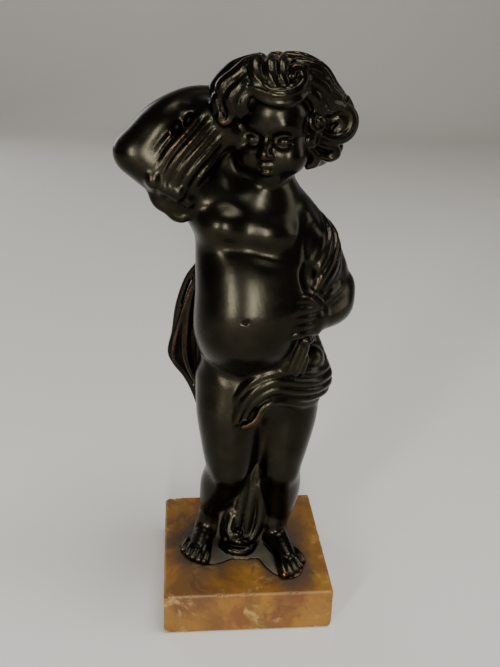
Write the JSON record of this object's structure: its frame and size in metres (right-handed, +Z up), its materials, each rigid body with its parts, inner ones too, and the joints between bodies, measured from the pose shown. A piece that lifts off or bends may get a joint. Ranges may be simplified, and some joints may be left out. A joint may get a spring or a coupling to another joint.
{
  "type": "bronze cherub figurine",
  "caption": "Dark patinated bronze putto with a long draped cloth, right arm raised behind the head, standing on a square yellow marble plinth.",
  "frame": {"origin": "centre of the underside of the plinth", "axes": "+Z up along the figure's height, the figure faces -Y, its left hand is towards +X"},
  "size_m": [0.1198, 0.09, 0.2912],
  "materials": {
    "bronze": "near-black brown patina, waxed, with rubbed red-brown edges",
    "marble": "worn polish, ochre-yellow marble with darker veins and pale spots"
  },
  "bodies": {
    "root": {"bronze_cherub": "bronze", "marble_plinth": "marble"}
  },
  "joints": []
}
